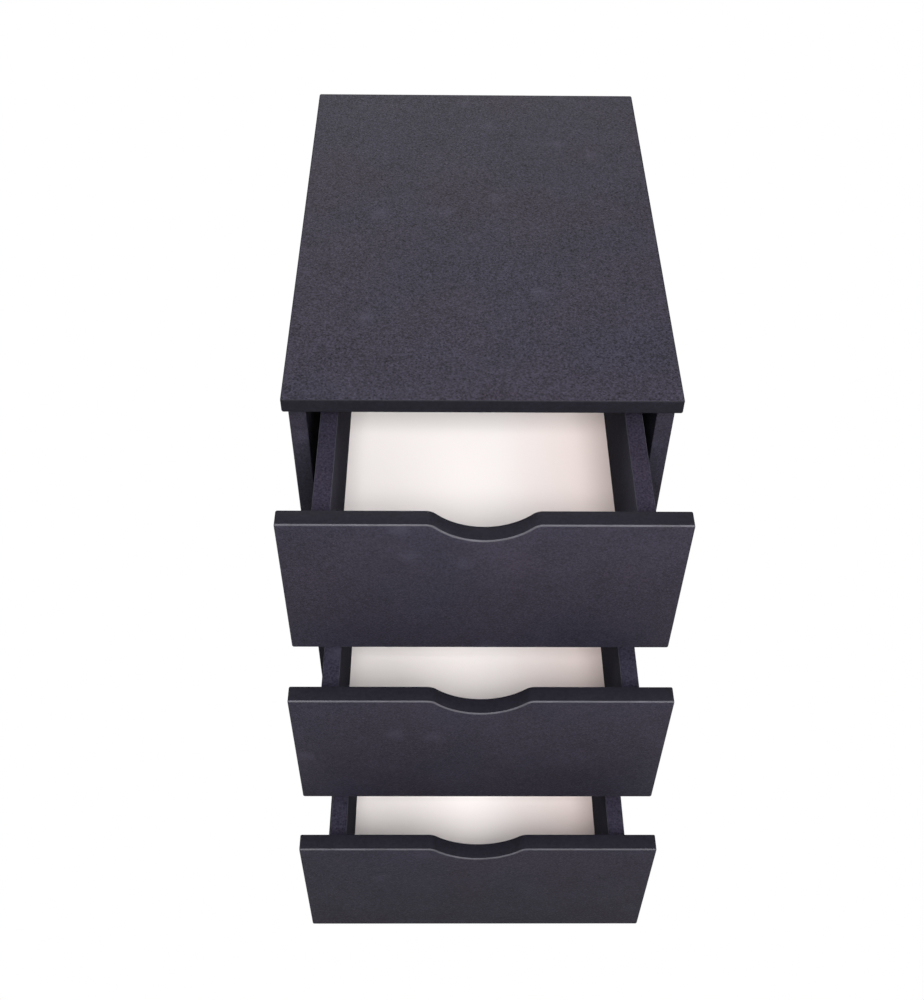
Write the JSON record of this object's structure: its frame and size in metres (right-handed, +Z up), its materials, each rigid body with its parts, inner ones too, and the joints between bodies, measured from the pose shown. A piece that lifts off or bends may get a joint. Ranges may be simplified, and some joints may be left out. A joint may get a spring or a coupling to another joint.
{
  "type": "nightstand with drawers",
  "caption": "Narrow deep nightstand of dark foil-wrapped board, with stacked drawers on roller runners and a round finger notch in each front.",
  "frame": {"origin": "on the floor, on the base panel's underside, under the middle of the top panel", "axes": "+X to the object's right as seen from the front, +Y to its back, +Z up; the drawers open towards -Y"},
  "size_m": [0.354, 0.739, 0.55],
  "materials": {
    "dark_foil": "particle board wrapped in charcoal foil with a fine leather grain, satin",
    "white_hardboard": "gloss white lacquered hardboard",
    "dark_hardboard": "hardboard with a plain charcoal face, matte",
    "runner_steel": "black powder coat, satin",
    "white_nylon": "natural nylon, satin",
    "zinc_steel": "bright zinc plate",
    "beech": "bare beech"
  },
  "bodies": {
    "cabinet": {"top_panel": "dark_foil", "side_panel_right": "dark_foil", "side_panel_left": "dark_foil", "base_panel": "dark_foil", "back_rail": "dark_foil", "back_panel": "dark_hardboard", "back_panel_nails": "zinc_steel", "cabinet_cam_fittings": "zinc_steel", "cabinet_dowels": "beech", "cabinet_runner_screws": "zinc_steel", "cabinet_roller_pins": "zinc_steel", "cabinet_runner_top_right": "runner_steel", "cabinet_runner_top_left": "runner_steel", "cabinet_runner_middle_right": "runner_steel", "cabinet_runner_middle_left": "runner_steel", "cabinet_runner_bottom_right": "runner_steel", "cabinet_runner_bottom_left": "runner_steel"},
    "drawer_top": {"drawer_top_front": "dark_foil", "drawer_top_side_right": "dark_foil", "drawer_top_side_left": "dark_foil", "drawer_top_back": "dark_foil", "drawer_top_floor": "white_hardboard", "drawer_top_runner_right": "runner_steel", "drawer_top_runner_left": "runner_steel", "drawer_top_fittings": "zinc_steel", "drawer_top_dowels": "beech", "drawer_top_roller_pins": "zinc_steel"},
    "drawer_middle": {"drawer_middle_front": "dark_foil", "drawer_middle_side_right": "dark_foil", "drawer_middle_side_left": "dark_foil", "drawer_middle_back": "dark_foil", "drawer_middle_floor": "white_hardboard", "drawer_middle_runner_right": "runner_steel", "drawer_middle_runner_left": "runner_steel", "drawer_middle_fittings": "zinc_steel", "drawer_middle_dowels": "beech", "drawer_middle_roller_pins": "zinc_steel"},
    "drawer_bottom": {"drawer_bottom_front": "dark_foil", "drawer_bottom_side_right": "dark_foil", "drawer_bottom_side_left": "dark_foil", "drawer_bottom_back": "dark_foil", "drawer_bottom_floor": "white_hardboard", "drawer_bottom_runner_right": "runner_steel", "drawer_bottom_runner_left": "runner_steel", "drawer_bottom_fittings": "zinc_steel", "drawer_bottom_dowels": "beech", "drawer_bottom_roller_pins": "zinc_steel"},
    "cabinet_rollers_top": {"cabinet_roller_top_right": "white_nylon", "cabinet_roller_top_left": "white_nylon"},
    "cabinet_rollers_middle": {"cabinet_roller_middle_right": "white_nylon", "cabinet_roller_middle_left": "white_nylon"},
    "cabinet_rollers_bottom": {"cabinet_roller_bottom_right": "white_nylon", "cabinet_roller_bottom_left": "white_nylon"},
    "drawer_rollers_top": {"drawer_top_roller_right": "white_nylon", "drawer_top_roller_left": "white_nylon"},
    "drawer_rollers_middle": {"drawer_middle_roller_right": "white_nylon", "drawer_middle_roller_left": "white_nylon"},
    "drawer_rollers_bottom": {"drawer_bottom_roller_right": "white_nylon", "drawer_bottom_roller_left": "white_nylon"}
  },
  "joints": [
    {"name": "drawer_top_slide", "type": "slide", "parent": "cabinet", "child": "drawer_top", "axis": [0, -1, 0], "range_m": [-0.1275, 0.2175]},
    {"name": "cabinet_rollers_top_spin", "type": "hinge", "parent": "cabinet", "child": "cabinet_rollers_top", "pos_m": [0, -0.218, 0.4118], "axis": [1, 0, 0], "continuous": true},
    {"name": "drawer_rollers_top_spin", "type": "hinge", "parent": "drawer_top", "child": "drawer_rollers_top", "pos_m": [0, 0.0765, 0.41275], "axis": [1, 0, 0], "continuous": true},
    {"name": "drawer_middle_slide", "type": "slide", "parent": "cabinet", "child": "drawer_middle", "axis": [0, -1, 0], "range_m": [-0.184, 0.161]},
    {"name": "cabinet_rollers_middle_spin", "type": "hinge", "parent": "cabinet", "child": "cabinet_rollers_middle", "pos_m": [0, -0.218, 0.2368], "axis": [1, 0, 0], "continuous": true},
    {"name": "drawer_rollers_middle_spin", "type": "hinge", "parent": "drawer_middle", "child": "drawer_rollers_middle", "pos_m": [0, 0.02, 0.23775], "axis": [1, 0, 0], "continuous": true},
    {"name": "drawer_bottom_slide", "type": "slide", "parent": "cabinet", "child": "drawer_bottom", "axis": [0, -1, 0], "range_m": [-0.239, 0.106]},
    {"name": "cabinet_rollers_bottom_spin", "type": "hinge", "parent": "cabinet", "child": "cabinet_rollers_bottom", "pos_m": [0, -0.218, 0.0618], "axis": [1, 0, 0], "continuous": true},
    {"name": "drawer_rollers_bottom_spin", "type": "hinge", "parent": "drawer_bottom", "child": "drawer_rollers_bottom", "pos_m": [0, -0.035, 0.06275], "axis": [1, 0, 0], "continuous": true}
  ],
  "couplings": [
    {"joint": "cabinet_rollers_top_spin", "follows": "drawer_top_slide", "rad_per_m": 111.11},
    {"joint": "drawer_rollers_top_spin", "follows": "drawer_top_slide", "rad_per_m": 100},
    {"joint": "cabinet_rollers_middle_spin", "follows": "drawer_middle_slide", "rad_per_m": 111.11},
    {"joint": "drawer_rollers_middle_spin", "follows": "drawer_middle_slide", "rad_per_m": 100},
    {"joint": "cabinet_rollers_bottom_spin", "follows": "drawer_bottom_slide", "rad_per_m": 111.11},
    {"joint": "drawer_rollers_bottom_spin", "follows": "drawer_bottom_slide", "rad_per_m": 100}
  ]
}
